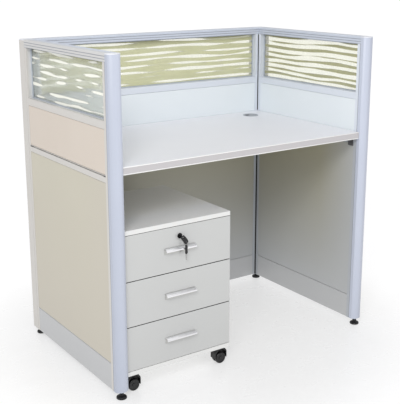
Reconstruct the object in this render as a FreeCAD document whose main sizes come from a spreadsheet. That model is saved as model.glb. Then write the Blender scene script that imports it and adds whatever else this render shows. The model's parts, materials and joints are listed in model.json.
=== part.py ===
"""Cubicle workstation: three glazed partition panels round a desk, with a three-drawer mobile pedestal.

The frame has +X to the right, +Y to the back and +Z up. Its origin lies on the floor, under the middle of
the station. Lengths are in millimetres and angles in degrees.
"""
import FreeCAD, Part
import math
import os
import re
import Sketcher

doc = FreeCAD.newDocument("CubicleWorkstation")

# Sizes
SIZES = {
    # Whole station
    "station_width": 1065,
    "station_depth": 650,
    "station_height": 1090,
    "panel_thickness": 45,
    "foot_height": 26,
    "overrun": 5,
    # End posts, corner posts and their caps
    "post_depth": 25,
    "post_bow": 12,
    "post_wall": 2,
    "post_block_height": 24,
    "corner_post_round": 6,
    "cap_thickness": 3,
    "cap_plug_depth": 8,
    "cap_clearance": 0.3,
    # Top rails
    "top_rail_height": 26,
    "rail_groove_width": 1.6,
    "rail_groove_depth": 1.2,
    "rail_chamfer": 2,
    # Stiles, glass rails, slotted rails and base rails
    "stile_width": 15,
    "stile_chamfer": 2,
    "glass_zone_share": 0.51,
    "bar_wall": 2,
    "glass_rail_height": 24,
    "tongue_height": 10,
    "slot_depth": 8,
    "slot_clearance": 0.4,
    "slot_lip": 2,
    "slot_strip_height": 18,
    "base_rail_wall": 2,
    # Glass
    "glass_thickness": 5,
    "glass_clearance": 0.3,
    "glass_bite": 6,
    # Tiles and base covers
    "tile_thickness": 10,
    "tile_recess": 0.6,
    "tile_joint": 0.4,
    "tile_chamfer": 1,
    "base_cover_height": 91,
    "base_cover_wall": 1.5,
    "base_cover_round": 3,
    # Levelling feet
    "foot_radius": 17,
    "front_foot_inset": 17.5,
    "foot_rim_height": 9,
    "foot_nut_radius": 8,
    "foot_seat_gap": 0.3,
    "foot_stem_radius": 4,
    "foot_stem_length": 20,
    "foot_stem_clearance": 0.05,
    # Desktop
    "desk_height": 750,
    "desk_thickness": 25,
    "desk_setback": 14,
    "desk_gap": 1,
    "edge_band_thickness": 2,
    "edge_band_round": 1.8,
    # Desk brackets
    "bracket_plate": 3,
    "bracket_reach": 30,
    "bracket_drop": 30,
    "bracket_width": 24,
    "bracket_hook": 6,
    "bracket_front_gap": 1,
    "bracket_rear_gap": 29,
    # Cable grommet
    "grommet_from_side": 100,
    "grommet_from_back": 82,
    "grommet_hole_radius": 28,
    "grommet_fit": 0.2,
    "grommet_flange_radius": 31,
    "grommet_flange_thickness": 2,
    "grommet_wall": 1.5,
    "grommet_depth": 20,
    "grommet_seat_drop": 3,
    "grommet_seat_width": 2,
    "grommet_slot_width": 16,
    "grommet_slot_depth": 20,
    # Pedestal carcass
    "pedestal_width": 400,
    "pedestal_depth": 415,
    "pedestal_height": 486,
    "pedestal_setback": 25,
    "pedestal_side_gap": 7,
    "caster_height": 60,
    "board_thickness": 15,
    "back_board_thickness": 5,
    "board_round": 1.2,
    # Drawers
    "front_thickness": 18,
    "front_joint": 2,
    "front_gap": 0.5,
    "front_round": 1.5,
    "box_wall": 12,
    "box_bottom": 6,
    "box_height": 92,
    "box_depth": 360,
    "box_rise": 14,
    # Drawer runners
    "runner_space": 12.7,
    "runner_height": 35,
    "runner_wall": 1.2,
    "runner_flange": 9,
    "runner_gap": 0.4,
    "runner_length": 350,
    "runner_inset": 3,
    "runner_rise": 45,
    # Drawer handles
    "handle_length": 115,
    "handle_reach": 14.5,
    "handle_plate": 1.6,
    "handle_plate_height": 20,
    "handle_wall": 2,
    "handle_fall": 5,
    "handle_drop": 2,
    "handle_lip": 5,
    "handle_curve_radius": 22,
    # Lock in the upper drawer's front
    "lock_drop": 33,
    "lock_hole_radius": 8,
    "lock_fit": 0.1,
    "lock_flange_radius": 9,
    "lock_flange_thickness": 2,
    "lock_length": 22,
    "plug_radius": 5.5,
    "plug_clearance": 0.05,
    "plug_face_drop": 0.4,
    "crank_length": 13,
    "crank_width": 7,
    "crank_thickness": 2.5,
    # Key, its folding bow and the spare key on its ring
    "key_angle": 35,
    "key_reach": 17.5,
    "key_stem_width": 5,
    "key_stem_thickness": 2.4,
    "key_pin_radius": 1.3,
    "key_pin_clearance": 0.05,
    "key_pin_length": 13,
    "knuckle_radius": 2.5,
    "knuckle_gap": 0.4,
    "bow_length": 29,
    "bow_width": 16,
    "bow_neck_drop": 7,
    "bow_thickness": 3.2,
    "bow_hole_radius": 1.8,
    "bow_hole_margin": 5,
    "ring_radius": 6,
    "ring_wire": 1.2,
    "spare_width": 9,
    "spare_head_length": 31,
    "spare_thickness": 2.4,
    "spare_hole_margin": 3,
    "blade_width": 5,
    "blade_length": 20,
    "blade_thickness": 1.6,
    "blade_notch": 1,
    # Casters
    "caster_inset_side": 42,
    "caster_inset_front": 24,
    "caster_inset_back": 30,
    "caster_trail": 14,
    "wheel_radius": 20,
    "wheel_width": 11,
    "wheel_gap": 0.5,
    "axle_radius": 3,
    "axle_clearance": 0.05,
    "web_thickness": 6,
    "web_foot": 7,
    "hood_clearance": 1.2,
    "hood_wall": 2.3,
    "hood_drop": 5,
    "hood_round": 16,
    "boss_width": 14,
    "boss_gap": 2.5,
    "swivel_gap": 0.3,
    "swivel_stem_radius": 4,
    "swivel_stem_length": 12,
    "swivel_clearance": 0.05,
}

sheet = doc.addObject("Spreadsheet::Sheet", "Sizes")
for row, (name, number) in enumerate(SIZES.items(), start=1):
    sheet.set("A%d" % row, name)
    sheet.set("B%d" % row, str(number))
    sheet.setAlias("B%d" % row, name)
doc.recompute()

# Levels and places that several pieces share, worked out from the sizes
RAIL_LOW = "(station_height - top_rail_height)"
GLASS_LOW = "(station_height - top_rail_height - (station_height - desk_height) * glass_zone_share)"
GLASS_RAIL_LOW = "(" + GLASS_LOW + " - glass_rail_height)"
DESK_LOW = "(desk_height - desk_thickness)"
SLOT_LOW = "(desk_height - desk_thickness - bracket_plate - slot_clearance)"
SLOT_TOP = "(desk_height - desk_thickness + slot_clearance)"
STRIP_LOW = "(desk_height - desk_thickness - bracket_plate - slot_clearance - slot_strip_height)"
STRIP_TOP = "(desk_height - desk_thickness + slot_clearance + slot_lip)"
COVER_TOP = "(foot_height + base_cover_height)"
HALF = "(panel_thickness / 2)"
CORE = "(panel_thickness / 2 - tile_recess - tile_thickness)"
SIDE_RUN = "(station_depth - post_depth - panel_thickness)"
BACK_RUN = "(station_width - 2 * panel_thickness)"
BOW_RADIUS = "((panel_thickness ^ 2 / 4 + post_bow ^ 2) / (2 * post_bow))"
POST_TOP = "(station_height - cap_thickness)"
PED_X = "(panel_thickness + pedestal_side_gap - station_width / 2)"
PED_Y = "(pedestal_setback - station_depth / 2)"
PED_TOP = "(caster_height + pedestal_height)"
BAY_LOW = "(caster_height + board_thickness)"
BAY_HIGH = "(caster_height + pedestal_height - board_thickness)"
BAY_STEP = "((pedestal_height - 2 * board_thickness) / 3)"
LOCK_Z = "(caster_height + pedestal_height - board_thickness - front_joint / 2 - lock_drop)"


# Small tools for bound sketches, pads, cuts and placements
def bound(text):
    """An expression in which each size's name is led by the sheet's name."""
    def lead(found):
        return "Sizes." + found.group() if found.group() in SIZES else found.group()
    return re.sub(r"[a-z][a-z_]*[a-z]", lead, text)


def number_of(text):
    """The number that an expression in sizes gives."""
    return float(sheet.evalExpression(bound(text)))


def mirrored(half):
    """A closed outline from its half at positive x, listed from the bottom to the top."""
    other = [("-(" + x + ")", y) for x, y in reversed(half) if x != "0"]
    return half + other


def new_body(label):
    body = doc.addObject("PartDesign::Body", label)
    body.Label = label
    return body


def bind_point(sketch, item, end, x, y):
    """Two distances from the sketch's origin hold one point."""
    for kind, text in (("DistanceX", x), ("DistanceY", y)):
        index = sketch.addConstraint(Sketcher.Constraint(kind, -1, 1, item, end, number_of(text)))
        sketch.setExpression("Constraints[%d]" % index, bound(text))


def bind_radius(sketch, item, text):
    index = sketch.addConstraint(Sketcher.Constraint("Radius", item, number_of(text)))
    sketch.setExpression("Constraints[%d]" % index, bound(text))


def arc_between(start, end, radius):
    """The shorter arc that goes anticlockwise from start to end."""
    chord = end - start
    sideways = FreeCAD.Vector(-chord.y, chord.x, 0).normalize()
    rise = math.sqrt(max(radius ** 2 - chord.Length ** 2 / 4, 0))
    centre = (start + end) / 2 + sideways * rise
    first = math.atan2(start.y - centre.y, start.x - centre.x)
    last = math.atan2(end.y - centre.y, end.x - centre.x)
    if last < first:
        last += 2 * math.pi
    return Part.ArcOfCircle(Part.Circle(centre, FreeCAD.Vector(0, 0, 1), radius), first, last)


def draw(body, plane, loops, lift="0"):
    """A bound sketch of closed loops on one of the body's own origin planes.

    A corner is (x, y), or (x, y, radius) where an outward arc leads to the next corner. A loop that is
    one ("circle", x, y, radius) is a circle.
    """
    sketch = body.newObject("Sketcher::SketchObject", "Outline")
    origin = [item for item in body.Origin.OriginFeatures if item.Role == plane + "_Plane"][0]
    sketch.AttachmentSupport = [(origin, "")]
    sketch.MapMode = "FlatFace"
    side = "-" if plane == "XZ" else ""
    sketch.setExpression("AttachmentOffset.Base.z", bound(side + "(" + lift + ")"))
    for loop in loops:
        if loop[0] == "circle":
            centre = FreeCAD.Vector(number_of(loop[1]), number_of(loop[2]), 0)
            circle = Part.Circle(centre, FreeCAD.Vector(0, 0, 1), number_of(loop[3]))
            item = sketch.addGeometry(circle, False)
            bind_point(sketch, item, 3, loop[1], loop[2])
            bind_radius(sketch, item, loop[3])
            continue
        spots = [FreeCAD.Vector(number_of(corner[0]), number_of(corner[1]), 0) for corner in loop]
        items = []
        for index, corner in enumerate(loop):
            start = spots[index]
            end = spots[(index + 1) % len(loop)]
            if len(corner) == 3:
                items.append(sketch.addGeometry(arc_between(start, end, number_of(corner[2])), False))
            else:
                items.append(sketch.addGeometry(Part.LineSegment(start, end), False))
        for index, item in enumerate(items):
            following = items[(index + 1) % len(items)]
            sketch.addConstraint(Sketcher.Constraint("Coincident", item, 2, following, 1))
        for item, corner in zip(items, loop):
            bind_point(sketch, item, 1, corner[0], corner[1])
            if len(corner) == 3:
                bind_radius(sketch, item, corner[2])
    return sketch


def pad(body, plane, loops, length, lift="0", upward=True):
    """Material from a sketch, towards the positive end of the axis across its plane, or away from it."""
    feature = body.newObject("PartDesign::Pad", "Pad")
    feature.Profile = draw(body, plane, loops, lift)
    feature.setExpression("Length", bound(length))
    feature.Reversed = upward == (plane == "XZ")
    return feature


def cut(body, plane, loops, length, lift="0", upward=True):
    """A pocket, with the directions of pad, that has to take material away."""
    doc.recompute()
    before = body.Shape.Volume
    feature = body.newObject("PartDesign::Pocket", "Pocket")
    feature.Profile = draw(body, plane, loops, lift)
    feature.setExpression("Length", bound(length))
    feature.Reversed = upward == (plane != "XZ")
    doc.recompute()
    if body.Shape.Volume >= before:
        raise ValueError("A pocket in " + body.Label + " takes nothing away")
    return feature


def turned(body, loop):
    """A solid of revolution from a half outline of radius and height."""
    feature = body.newObject("PartDesign::Revolution", "Turned")
    feature.Profile = draw(body, "XZ", [loop])
    feature.ReferenceAxis = (feature.Profile[0], ["V_Axis"])
    feature.Angle = 360
    return feature


def place(item, x, y, z, rotation=None):
    """Put a piece at its bound place in the station's frame."""
    if rotation is not None:
        item.Placement = FreeCAD.Placement(FreeCAD.Vector(0, 0, 0), rotation)
    for axis, text in zip("xyz", (x, y, z)):
        item.setExpression("Placement.Base." + axis, bound(text))
    return item


def group(label, pieces):
    """Separate solids that one node holds."""
    compound = doc.addObject("Part::Compound", label)
    compound.Label = label
    compound.Links = pieces
    return compound


def box_loop(x_low, x_high, y_low, y_high):
    return [(x_low, y_low), (x_high, y_low), (x_high, y_high), (x_low, y_high)]


def turn_z(angle):
    return FreeCAD.Rotation(FreeCAD.Vector(0, 0, 1), angle)


FACE_FRONT = FreeCAD.Rotation(FreeCAD.Vector(1, 0, 0), 90)
nodes = []


# Partition panels. Each is made along its own x axis, with its outer face at +y, and then turned.
def top_rail(label, run):
    """Extruded cap rail: two grooves in each side and on top, and a channel below that holds the glass."""
    body = new_body(label)
    slit = "(glass_thickness / 2 + glass_clearance)"
    half = [
        (slit, RAIL_LOW),
        (HALF, RAIL_LOW),
    ]
    for share in ("1 / 3", "2 / 3"):
        middle = "(" + RAIL_LOW + " + top_rail_height * " + share + ")"
        half += [
            (HALF, middle + " - rail_groove_width / 2"),
            (HALF + " - rail_groove_depth", middle + " - rail_groove_width / 2"),
            (HALF + " - rail_groove_depth", middle + " + rail_groove_width / 2"),
            (HALF, middle + " + rail_groove_width / 2"),
        ]
    groove = "(panel_thickness / 6)"
    half += [
        (HALF, "station_height - rail_chamfer"),
        (HALF + " - rail_chamfer", "station_height"),
        (groove + " + rail_groove_width / 2", "station_height"),
        (groove + " + rail_groove_width / 2", "station_height - rail_groove_depth"),
        (groove + " - rail_groove_width / 2", "station_height - rail_groove_depth"),
        (groove + " - rail_groove_width / 2", "station_height"),
    ]
    roof = RAIL_LOW + " + glass_bite + glass_clearance"
    outline = mirrored(half) + [("-" + slit, roof), (slit, roof)]
    side = "(" + HALF + " - rail_groove_depth - bar_wall)"
    chamber = box_loop("-" + side, side, roof + " + bar_wall",
                       "station_height - rail_groove_depth - bar_wall")
    pad(body, "YZ", [outline, chamber], run)
    return body


def stile(label, run, far):
    """Upright of the frame, with a channel for the glass down its inner edge and small bevels outside."""
    body = new_body(label)

    def along(x):
        return run + " - (" + x + ")" if far else x

    slit = "(glass_thickness / 2 + glass_clearance)"
    floor = "stile_width - glass_bite - glass_clearance"
    loop = [
        (along("stile_chamfer"), "-" + HALF),
        (along("stile_width"), "-" + HALF),
        (along("stile_width"), "-" + slit),
        (along(floor), "-" + slit),
        (along(floor), slit),
        (along("stile_width"), slit),
        (along("stile_width"), HALF),
        (along("stile_chamfer"), HALF),
        (along("0"), HALF + " - stile_chamfer"),
        (along("0"), "stile_chamfer - " + HALF),
    ]
    side = "(" + HALF + " - bar_wall)"
    chamber = box_loop(along("bar_wall"), along(floor + " - bar_wall"), "-" + side, side)
    pad(body, "XY", [loop, chamber], RAIL_LOW + " - foot_height", "foot_height")
    return body


def cross_rail(label, run, loops):
    """Bar of the frame between the two stiles."""
    body = new_body(label)
    pad(body, "YZ", loops, run + " - 2 * stile_width", "stile_width")
    return body


def glass_rail_outline():
    """Bar under the glass: a channel on top for the pane and a tongue below that backs the tiles."""
    slit = "(glass_thickness / 2 + glass_clearance)"
    half = [
        (CORE, GLASS_RAIL_LOW + " - tongue_height"),
        (CORE, GLASS_RAIL_LOW),
        (HALF, GLASS_RAIL_LOW),
        (HALF, GLASS_LOW),
        (slit, GLASS_LOW),
        (slit, GLASS_LOW + " - glass_bite"),
    ]
    side = "(" + HALF + " - bar_wall)"
    chamber = box_loop("-" + side, side, GLASS_RAIL_LOW + " + bar_wall",
                       GLASS_LOW + " - glass_bite - bar_wall")
    return [mirrored(half), chamber]


def slotted_rail_outline():
    """Bar at desk level, with a slot along each face that takes the hooks of the desk brackets."""
    slot_floor = HALF + " - slot_depth"
    half = [
        (CORE, STRIP_LOW + " - tongue_height"),
        (CORE, STRIP_LOW),
        (HALF, STRIP_LOW),
        (HALF, SLOT_LOW),
        (slot_floor, SLOT_LOW),
        (slot_floor, SLOT_TOP),
        (HALF, SLOT_TOP),
        (HALF, STRIP_TOP),
        (CORE, STRIP_TOP),
        (CORE, STRIP_TOP + " + tongue_height"),
    ]
    side = "(" + CORE + " - bar_wall)"
    chamber = box_loop("-" + side, side, STRIP_LOW + " - tongue_height + bar_wall",
                       STRIP_TOP + " + tongue_height - bar_wall")
    return [mirrored(half), chamber]


def base_rail_outline():
    """Hollow cable duct along the foot of the panel, which carries the covers and the lower tiles."""
    outer = box_loop("-" + CORE, CORE, "foot_height", COVER_TOP + " + tongue_height")
    wall = "(" + CORE + " - base_rail_wall)"
    inner = box_loop("-" + wall, wall, "foot_height + base_rail_wall",
                     COVER_TOP + " + tongue_height - base_rail_wall")
    return [outer, inner]


def frame(label, run):
    return [
        stile(label + "_near_stile", run, False),
        stile(label + "_far_stile", run, True),
        cross_rail(label + "_glass_rail", run, glass_rail_outline()),
        cross_rail(label + "_slotted_rail", run, slotted_rail_outline()),
        cross_rail(label + "_base_rail", run, base_rail_outline()),
    ]


def glass(label, run):
    """Pane that stands in the channel of the glass rail and enters both stiles and the top rail."""
    body = new_body(label)
    loop = box_loop("-glass_thickness / 2", "glass_thickness / 2",
                    GLASS_LOW + " - glass_bite", RAIL_LOW + " + glass_bite")
    pad(body, "YZ", [loop], run + " - 2 * stile_width + 2 * glass_bite", "stile_width - glass_bite")
    return body


def tile(label, run, low, high, outer):
    """Board with bevelled long edges that lies against the tongues of two rails."""
    body = new_body(label)
    sign = "" if outer else "-"
    face = sign + "(" + HALF + " - tile_recess)"
    shoulder = sign + "(" + HALF + " - tile_recess - tile_chamfer)"
    back = sign + CORE
    bottom = low + " + tile_joint"
    top = high + " - tile_joint"
    loop = [
        (back, bottom),
        (shoulder, bottom),
        (face, bottom + " + tile_chamfer"),
        (face, top + " - tile_chamfer"),
        (shoulder, top),
        (back, top),
    ]
    pad(body, "YZ", [loop], run + " - 2 * stile_width - 2 * tile_joint", "stile_width + tile_joint")
    return body


def base_cover(label, run, outer):
    """Folded strip with a rounded upper edge and two lips that meet the base rail."""
    body = new_body(label)
    sign = "" if outer else "-"
    face = sign + "(" + HALF + " - tile_recess)"
    inside = sign + "(" + HALF + " - tile_recess - base_cover_wall)"
    back = sign + CORE
    bottom = "foot_height + tile_joint"
    top = COVER_TOP + " - tile_joint"
    loop = [
        (back, bottom),
        (face, bottom),
        (face, top + " - base_cover_round"),
        (sign + "(" + HALF + " - tile_recess - base_cover_round)", top),
        (back, top),
        (back, top + " - base_cover_wall"),
        (sign + "(" + HALF + " - tile_recess - base_cover_round)", top + " - base_cover_wall"),
        (inside, top + " - base_cover_round"),
        (inside, bottom + " + base_cover_wall"),
        (back, bottom + " + base_cover_wall"),
    ]
    pad(body, "YZ", [loop], run + " - 2 * stile_width - 2 * tile_joint", "stile_width + tile_joint")
    return body


PANELS = {
    "left": (SIDE_RUN, "(panel_thickness - station_width) / 2", "post_depth - station_depth / 2", 90),
    "back": (BACK_RUN, "panel_thickness - station_width / 2", "(station_depth - panel_thickness) / 2", 0),
    "right": (SIDE_RUN, "(station_width - panel_thickness) / 2", "station_depth / 2 - panel_thickness", -90),
}
for side, (run, x, y, yaw) in PANELS.items():
    pieces = {
        "top_rail": [top_rail(side + "_top_rail", run)],
        "frame": frame(side, run),
        "glass": [glass(side + "_glass", run)],
        "outer_tiles": [
            tile(side + "_upper_outer_tile", run, STRIP_TOP, GLASS_RAIL_LOW, True),
            tile(side + "_lower_outer_tile", run, COVER_TOP, STRIP_LOW, True),
        ],
        "inner_tiles": [
            tile(side + "_upper_inner_tile", run, STRIP_TOP, GLASS_RAIL_LOW, False),
            tile(side + "_lower_inner_tile", run, COVER_TOP, STRIP_LOW, False),
        ],
        "base_covers": [
            base_cover(side + "_outer_cover", run, True),
            base_cover(side + "_inner_cover", run, False),
        ],
    }
    for name, bodies in pieces.items():
        for body in bodies:
            place(body, x, y, "0", turn_z(yaw))
        nodes.append(bodies[0] if len(bodies) == 1 else group(side + "_" + name, bodies))


# Posts. An end post is a hollow D with its bow to the front, a corner post a hollow square.
def end_loop(inset="0"):
    """The D section, or the same D set in from it all round."""
    half = "(" + HALF + " - " + inset + ")"
    radius = "(" + BOW_RADIUS + " - " + inset + ")"
    shoulder = "(" + BOW_RADIUS + " - sqrt(" + radius + " ^ 2 - " + half + " ^ 2))"
    rear = "(post_depth - " + inset + ")"
    return [("-" + half, shoulder, radius), (half, shoulder), (half, rear), ("-" + half, rear)]


def corner_loop():
    return [
        ("-" + HALF, "-" + HALF),
        (HALF, "-" + HALF),
        (HALF, HALF),
        ("corner_post_round - " + HALF, HALF, "corner_post_round"),
        ("-" + HALF, HALF + " - corner_post_round"),
    ]


def corner_bore(inset):
    half = "(" + HALF + " - " + inset + ")"
    return box_loop("-" + half, half, "-" + half, half)


def post(label, outer, inner, stem_y):
    """Hollow upright on a solid block, which is bored for the levelling foot."""
    body = new_body(label)
    pad(body, "XY", [outer], POST_TOP + " - foot_height", "foot_height")
    cut(body, "XY", [inner], POST_TOP + " - foot_height - post_block_height + overrun",
        "foot_height + post_block_height")
    cut(body, "XY", [("circle", "0", stem_y, "foot_stem_radius + foot_stem_clearance")],
        "post_block_height + overrun", "foot_height - overrun / 2")
    return body


def post_cap(label, outer, plug):
    """Plate level with the top rails, with a plug that enters the post."""
    body = new_body(label)
    pad(body, "XY", [outer], "cap_thickness", POST_TOP)
    pad(body, "XY", [plug], "cap_plug_depth", POST_TOP, upward=False)
    return body


def foot(label):
    """Levelling foot: a glide disc, the hexagon that a spanner turns, and the stem in the post's block."""
    body = new_body(label)
    pad(body, "XY", [("circle", "0", "0", "foot_radius")], "foot_rim_height")
    hexagon = [("foot_nut_radius * cos(%d)" % angle, "foot_nut_radius * sin(%d)" % angle)
               for angle in range(0, 360, 60)]
    pad(body, "XY", [hexagon], "foot_height - foot_seat_gap - foot_rim_height", "foot_rim_height")
    pad(body, "XY", [("circle", "0", "0", "foot_stem_radius")],
        "foot_stem_length", "foot_height - foot_seat_gap")
    return body


END_STEM = "front_foot_inset"
PLUG_INSET = "(post_wall + cap_clearance)"
POST_X = "(station_width - panel_thickness) / 2"
CORNER_Y = "(station_depth - panel_thickness) / 2"
caps = []
for side, sign, yaw in (("left", "-", 0), ("right", "", -90)):
    end_post = post(side + "_end_post", end_loop(), end_loop("post_wall"), END_STEM)
    end_cap = post_cap(side + "_end_cap", end_loop(), end_loop(PLUG_INSET))
    for piece in (end_post, end_cap):
        place(piece, sign + POST_X, "-station_depth / 2", "0")
    corner_post = post(side + "_corner_post", corner_loop(), corner_bore("post_wall"), "0")
    corner_cap = post_cap(side + "_corner_cap", corner_loop(), corner_bore(PLUG_INSET))
    for piece in (corner_post, corner_cap):
        place(piece, sign + POST_X, CORNER_Y, "0", turn_z(yaw))
    front_foot = place(foot(side + "_front_foot"), sign + POST_X, END_STEM + " - station_depth / 2", "0")
    rear_foot = place(foot(side + "_rear_foot"), sign + POST_X, CORNER_Y, "0")
    nodes += [end_post, corner_post, front_foot, rear_foot]
    caps += [end_cap, corner_cap]
nodes.append(group("post_caps", caps))

# Desktop: a bored board with a rounded band on its front edge
DESK_HALF = "(station_width / 2 - panel_thickness - desk_gap)"
DESK_FRONT = "(desk_setback - station_depth / 2)"
DESK_BACK = "(station_depth / 2 - panel_thickness - desk_gap)"
GROMMET_X = "(station_width / 2 - panel_thickness - grommet_from_side)"
GROMMET_Y = "(station_depth / 2 - panel_thickness - grommet_from_back)"
board = new_body("desktop_board")
pad(board, "XY", [
    box_loop("-" + DESK_HALF, DESK_HALF, DESK_FRONT + " + edge_band_thickness", DESK_BACK),
    ("circle", GROMMET_X, GROMMET_Y, "grommet_hole_radius"),
], "desk_thickness", DESK_LOW)
band = new_body("desktop_edge_band")
pad(band, "YZ", [[
    (DESK_FRONT, "desk_height - edge_band_round", ),
    (DESK_FRONT, DESK_LOW + " + edge_band_round", "edge_band_round"),
    (DESK_FRONT + " + edge_band_round", DESK_LOW),
    (DESK_FRONT + " + edge_band_thickness", DESK_LOW),
    (DESK_FRONT + " + edge_band_thickness", "desk_height"),
    (DESK_FRONT + " + edge_band_round", "desk_height", "edge_band_round"),
]], "2 * " + DESK_HALF, "-" + DESK_HALF)
nodes.append(group("desktop", [board, band]))


# Desk brackets: a flange under the board, a leg down the panel, a gusset and a hook in the slot
def bracket(label):
    """The panel's face is at x = 0, and the desk lies towards +x."""
    body = new_body(label)
    angle = [
        ("0", DESK_LOW + " - bracket_drop"),
        ("bracket_plate", DESK_LOW + " - bracket_drop"),
        ("bracket_plate", DESK_LOW + " - bracket_plate"),
        ("bracket_reach", DESK_LOW + " - bracket_plate"),
        ("bracket_reach", DESK_LOW),
        ("-bracket_hook", DESK_LOW),
        ("-bracket_hook", DESK_LOW + " - bracket_plate"),
        ("0", DESK_LOW + " - bracket_plate"),
    ]
    pad(body, "XZ", [angle], "bracket_width", "-bracket_width / 2")
    gusset = [
        ("bracket_plate / 2", DESK_LOW + " - bracket_drop + bracket_plate"),
        ("bracket_reach - bracket_plate", DESK_LOW + " - bracket_plate / 2"),
        ("bracket_plate / 2", DESK_LOW + " - bracket_plate / 2"),
    ]
    pad(body, "XZ", [gusset], "bracket_plate", "-bracket_plate / 2")
    return body


brackets = []
side_face = "(station_width / 2 - panel_thickness)"
front_place = "(post_depth + stile_width + bracket_front_gap + bracket_width / 2 - station_depth / 2)"
rear_place = "(station_depth / 2 - panel_thickness - stile_width - bracket_rear_gap - bracket_width / 2)"
for x, y, yaw in (
    ("-" + side_face, front_place, 0),
    ("-" + side_face, rear_place, 0),
    (side_face, front_place, 180),
    (side_face, rear_place, 180),
    ("-station_width / 4", "station_depth / 2 - panel_thickness", -90),
    ("station_width / 4", "station_depth / 2 - panel_thickness", -90),
):
    piece = bracket("desk_bracket_%d" % (len(brackets) + 1))
    brackets.append(place(piece, x, y, "0", turn_z(yaw)))
nodes.append(group("desk_brackets", brackets))

# Cable grommet: a flanged sleeve with a seat inside, and a lift-out cap with a cable slot
SLEEVE = "(grommet_hole_radius - grommet_fit)"
MOUTH = "(grommet_hole_radius - grommet_fit - grommet_wall)"
ring = new_body("grommet_ring")
turned(ring, [
    (MOUTH, "desk_height - grommet_seat_drop"),
    (MOUTH + " - grommet_seat_width", "desk_height - grommet_seat_drop"),
    (MOUTH + " - grommet_seat_width", "desk_height - grommet_depth"),
    (SLEEVE, "desk_height - grommet_depth"),
    (SLEEVE, "desk_height"),
    ("grommet_flange_radius", "desk_height"),
    ("grommet_flange_radius", "desk_height + grommet_flange_thickness"),
    (MOUTH, "desk_height + grommet_flange_thickness"),
])
cap = new_body("grommet_cap")
CAP_RADIUS = "(" + MOUTH + " - grommet_fit)"
pad(cap, "XY", [("circle", "0", "0", CAP_RADIUS)],
    "grommet_seat_drop - grommet_fit + grommet_flange_thickness",
    "desk_height - grommet_seat_drop + grommet_fit")
cut(cap, "XY", [[
    ("-" + CAP_RADIUS + " - overrun", "-grommet_slot_width / 2"),
    ("-" + CAP_RADIUS + " + grommet_slot_depth - grommet_slot_width / 2", "-grommet_slot_width / 2",
     "grommet_slot_width / 2"),
    ("-" + CAP_RADIUS + " + grommet_slot_depth", "0", "grommet_slot_width / 2"),
    ("-" + CAP_RADIUS + " + grommet_slot_depth - grommet_slot_width / 2", "grommet_slot_width / 2"),
    ("-" + CAP_RADIUS + " - overrun", "grommet_slot_width / 2"),
]], "desk_thickness", "desk_height - desk_thickness / 2")
for piece in (ring, cap):
    nodes.append(place(piece, GROMMET_X, GROMMET_Y, "0"))


# Pedestal carcass, made from its own front left corner
def rounded_slab(label, low, high, depth, round_size):
    """Board as wide as the pedestal, with both arrises of its front edge rounded."""
    body = new_body(label)
    pad(body, "YZ", [[
        ("0", low + " + " + round_size, round_size),
        (round_size, low),
        (depth, low),
        (depth, high),
        (round_size, high, round_size),
        ("0", high + " - " + round_size),
    ]], "pedestal_width")
    return body


def side_board(label, x_low):
    """Carcass side behind the drawer fronts, between the top and the base."""
    body = new_body(label)
    loop = box_loop(x_low, x_low + " + board_thickness", "front_thickness + front_gap", "pedestal_depth")
    pad(body, "XY", [loop], BAY_HIGH + " - " + BAY_LOW, BAY_LOW)
    return body


STEMS = {
    "front_left": ("caster_inset_side", "caster_inset_front", 0),
    "front_right": ("(pedestal_width - caster_inset_side)", "caster_inset_front", 180),
    "rear_left": ("caster_inset_side", "(pedestal_depth - caster_inset_back)", 0),
    "rear_right": ("(pedestal_width - caster_inset_side)", "(pedestal_depth - caster_inset_back)", 180),
}
pedestal_top = rounded_slab("pedestal_top", BAY_HIGH, PED_TOP, "pedestal_depth", "board_round")
pedestal_base = rounded_slab("pedestal_base", "caster_height", BAY_LOW, "pedestal_depth", "board_round")
for x, y, yaw in STEMS.values():
    cut(pedestal_base, "XY", [("circle", x, y, "swivel_stem_radius + swivel_clearance")],
        "swivel_stem_length + swivel_clearance + overrun", "caster_height - overrun")
pedestal_back = new_body("pedestal_back")
pad(pedestal_back, "XY", [box_loop(
    "board_thickness", "pedestal_width - board_thickness",
    "pedestal_depth - back_board_thickness", "pedestal_depth",
)], BAY_HIGH + " - " + BAY_LOW, BAY_LOW)
sides = [
    side_board("pedestal_left_side", "0"),
    side_board("pedestal_right_side", "(pedestal_width - board_thickness)"),
]
for piece in [pedestal_top, pedestal_base, pedestal_back] + sides:
    place(piece, PED_X, PED_Y, "0")
nodes += [pedestal_top, pedestal_base, pedestal_back, group("pedestal_sides", sides)]


# Drawers: a front, a box behind it, a handle and two runners, in three equal bays
def runner(label, middle, right, moving):
    """Channel rail. The fixed one opens to the drawer, and the moving one lies inside it, open outwards."""
    body = new_body(label)
    near, far = "board_thickness", "board_thickness + runner_space"
    start, stop, wall = near, near + " + runner_flange", near + " + runner_wall"
    half_height = "(runner_height / 2)"
    if moving:
        start, stop, wall = far, near + " + 2 * runner_wall", far + " - runner_wall"
        half_height = "(runner_height / 2 - runner_wall - runner_gap)"
    low = middle + " - " + half_height
    high = middle + " + " + half_height
    loop = [
        (start, low),
        (stop, low),
        (stop, low + " + runner_wall"),
        (wall, low + " + runner_wall"),
        (wall, high + " - runner_wall"),
        (stop, high + " - runner_wall"),
        (stop, high),
        (start, high),
    ]
    if right:
        loop = [("pedestal_width - (" + x + ")", z) for x, z in loop]
    pad(body, "XZ", [loop], "runner_length", "front_thickness + front_gap + runner_inset")
    return body


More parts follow.
